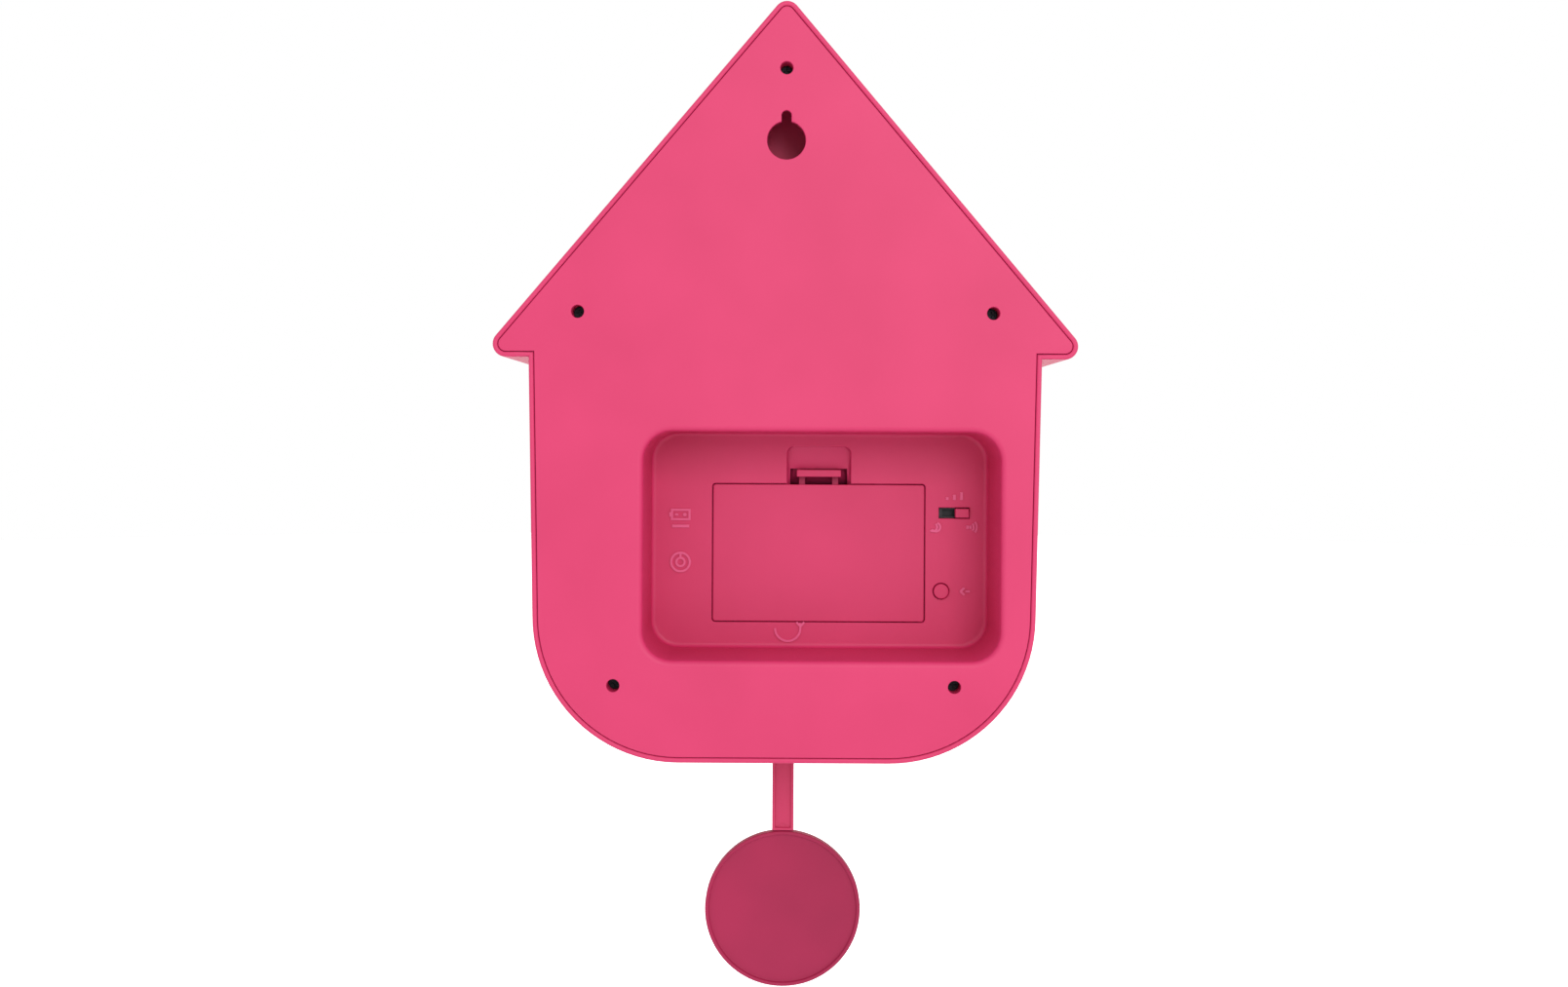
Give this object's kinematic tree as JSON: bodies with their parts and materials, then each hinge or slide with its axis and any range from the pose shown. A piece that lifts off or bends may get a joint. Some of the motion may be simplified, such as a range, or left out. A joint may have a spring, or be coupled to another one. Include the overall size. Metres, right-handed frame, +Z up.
{
  "type": "cuckoo wall clock",
  "caption": "House-shaped plastic cuckoo wall clock with double-door cuckoo, quartz dial, swinging pendulum and a recessed rear battery pocket.",
  "frame": {"origin": "centre of the round entry of the hanging keyhole, on the plane of the back that lies on the wall", "axes": "+Z up as hung; +Y points at the wall, so the dial faces -Y; +X is to the right of someone reading the dial"},
  "size_m": [0.2, 0.0902, 0.3507],
  "materials": {
    "shell_pink": "satin moulded ABS",
    "trim_pink": "satin moulded ABS",
    "dial_cream": "printed matt plastic sheet",
    "screw_steel": "zinc plated steel",
    "hand_brass": "turned brass",
    "hand_black": "matt black lacquer",
    "black_plastic": "black ABS",
    "knob_black": "black ABS",
    "gear_nylon": "natural acetal",
    "board_green": "solder mask on glass epoxy",
    "coil_copper": "enamelled copper wire",
    "magnet_ferrite": "sintered ferrite",
    "speaker_paper": "pressed paper cone",
    "cell_jacket": "printed steel jacket",
    "lead_insulation": "soft insulation",
    "sensor_lens": "smoked clear plastic",
    "bird_yellow": "painted plastic",
    "bird_orange": "painted plastic",
    "bird_wing": "painted plastic"
  },
  "bodies": {
    "case": {"front_shell": "shell_pink", "back_cover": "shell_pink", "case_screws": "screw_steel", "dial": "dial_cream", "dial_bezel": "trim_pink", "door_frame": "trim_pink", "door_pins": "screw_steel", "sensor_lens": "sensor_lens", "light_sensor": "black_plastic", "battery_cells": "cell_jacket", "battery_springs": "screw_steel", "battery_plates": "screw_steel", "circuit_board": "board_green", "board_parts": "black_plastic", "slide_switch": "screw_steel", "tact_switch": "black_plastic", "speaker_basket": "screw_steel", "speaker_cone": "speaker_paper", "speaker_magnet": "magnet_ferrite", "movement_front": "black_plastic", "movement_back": "black_plastic", "movement_plate": "gear_nylon", "movement_nut": "hand_brass", "movement_coil": "coil_copper", "movement_stator": "screw_steel", "movement_board": "board_green", "pendulum_bracket": "gear_nylon", "pendulum_pin": "screw_steel", "pendulum_coil": "coil_copper", "cuckoo_chassis": "gear_nylon", "motor_can": "screw_steel", "inner_screws": "screw_steel", "wiring": "lead_insulation"},
    "pendulum": {"pendulum_hanger": "gear_nylon", "pendulum_magnet": "magnet_ferrite", "pendulum_rod": "shell_pink", "pendulum_disc": "shell_pink"},
    "battery_door": {"battery_cover": "shell_pink"},
    "latch": {"cover_latch": "shell_pink"},
    "mode_switch": {"mode_slider": "shell_pink"},
    "set_key": {"set_button": "shell_pink"},
    "minute": {"minute_arbor": "hand_brass", "minute_hand": "hand_black"},
    "minute_train": {"minute_wheel": "gear_nylon", "set_knob": "knob_black"},
    "hour": {"hour_wheel": "gear_nylon", "hour_hand": "hand_black"},
    "rotor": {"rotor": "magnet_ferrite"},
    "step": {"step_wheel": "gear_nylon"},
    "third": {"third_wheel": "gear_nylon"},
    "centre": {"centre_wheel": "gear_nylon"},
    "bird": {"bird_carriage": "gear_nylon", "bird_body": "bird_yellow", "bird_beak": "bird_orange", "bird_wings": "bird_wing"},
    "drive": {"drive_gear": "gear_nylon"},
    "first": {"first_gear": "gear_nylon"},
    "motor": {"motor_pinion": "hand_brass"},
    "left_door": {"door_left": "trim_pink"},
    "right_door": {"door_right": "trim_pink"}
  },
  "joints": [
    {"name": "pendulum_swing", "type": "hinge", "parent": "case", "child": "pendulum", "pos_m": [0, -0.042, -0.191], "axis": [0, 1, 0], "range_deg": [-9, 9]},
    {"name": "battery_door_hinge", "type": "hinge", "parent": "case", "child": "battery_door", "pos_m": [-0.0125, -0.036, -0.16835], "axis": [-1, 0, 0], "range_deg": [0, 75]},
    {"name": "latch_press", "type": "slide", "parent": "battery_door", "child": "latch", "axis": [0, 0, -1], "range_m": [0, 0.0013], "stiffness_N_per_m": 1200},
    {"name": "mode_slide", "type": "slide", "parent": "case", "child": "mode_switch", "axis": [1, 0, 0], "range_m": [0, 0.0054]},
    {"name": "set_press", "type": "slide", "parent": "case", "child": "set_key", "axis": [0, -1, 0], "range_m": [0, 0.0008], "stiffness_N_per_m": 900},
    {"name": "minute_spin", "type": "hinge", "parent": "case", "child": "minute", "pos_m": [0, -0.088, -0.1434], "axis": [0, 1, 0], "continuous": true},
    {"name": "minute_wheel_spin", "type": "hinge", "parent": "case", "child": "minute_train", "pos_m": [0.01403, -0.0695, -0.1434], "axis": [0, 1, 0], "continuous": true},
    {"name": "hour_spin", "type": "hinge", "parent": "case", "child": "hour", "pos_m": [0, -0.08, -0.1434], "axis": [0, 1, 0], "continuous": true},
    {"name": "rotor_spin", "type": "hinge", "parent": "case", "child": "rotor", "pos_m": [-0.02048, -0.063, -0.1497], "axis": [0, 1, 0], "continuous": true},
    {"name": "step_spin", "type": "hinge", "parent": "case", "child": "step", "pos_m": [-0.01199, -0.061, -0.14661], "axis": [0, 1, 0], "continuous": true},
    {"name": "third_spin", "type": "hinge", "parent": "case", "child": "third", "pos_m": [-0.0076, -0.064, -0.13901], "axis": [0, 1, 0], "continuous": true},
    {"name": "centre_spin", "type": "hinge", "parent": "case", "child": "centre", "pos_m": [0, -0.0663, -0.1434], "axis": [0, 1, 0], "continuous": true},
    {"name": "bird_slide", "type": "slide", "parent": "case", "child": "bird", "axis": [0, -1, 0], "range_m": [0, 0.026]},
    {"name": "drive_spin", "type": "hinge", "parent": "case", "child": "drive", "pos_m": [0, -0.045, -0.06185], "axis": [1, 0, 0], "range_deg": [-1, 312]},
    {"name": "first_spin", "type": "hinge", "parent": "case", "child": "first", "pos_m": [0.008, -0.03511, -0.06958], "axis": [1, 0, 0], "range_deg": [-1244, 1]},
    {"name": "motor_spin", "type": "hinge", "parent": "case", "child": "motor", "pos_m": [0.007, -0.02521, -0.07132], "axis": [1, 0, 0], "range_deg": [-1, 4969]},
    {"name": "left_door_hinge", "type": "hinge", "parent": "case", "child": "left_door", "pos_m": [-0.0146, -0.0795, -0.04], "axis": [0, 0, -1], "range_deg": [0, 101]},
    {"name": "right_door_hinge", "type": "hinge", "parent": "case", "child": "right_door", "pos_m": [0.0146, -0.0795, -0.04], "axis": [0, 0, 1], "range_deg": [0, 101]}
  ],
  "couplings": [
    {"joint": "minute_wheel_spin", "follows": "minute_spin", "ratio": -0.33333},
    {"joint": "hour_spin", "follows": "minute_spin", "ratio": 0.083333},
    {"joint": "step_spin", "follows": "rotor_spin", "ratio": -0.2},
    {"joint": "third_spin", "follows": "rotor_spin", "ratio": 0.033333},
    {"joint": "centre_spin", "follows": "rotor_spin", "ratio": -0.0055556},
    {"joint": "drive_spin", "follows": "bird_slide", "rad_per_m": 208.33},
    {"joint": "first_spin", "follows": "bird_slide", "rad_per_m": -833.33},
    {"joint": "motor_spin", "follows": "bird_slide", "rad_per_m": 3333.3},
    {"joint": "left_door_hinge", "follows": "bird_slide", "rad_per_m": 67.1},
    {"joint": "right_door_hinge", "follows": "bird_slide", "rad_per_m": 67.1}
  ]
}
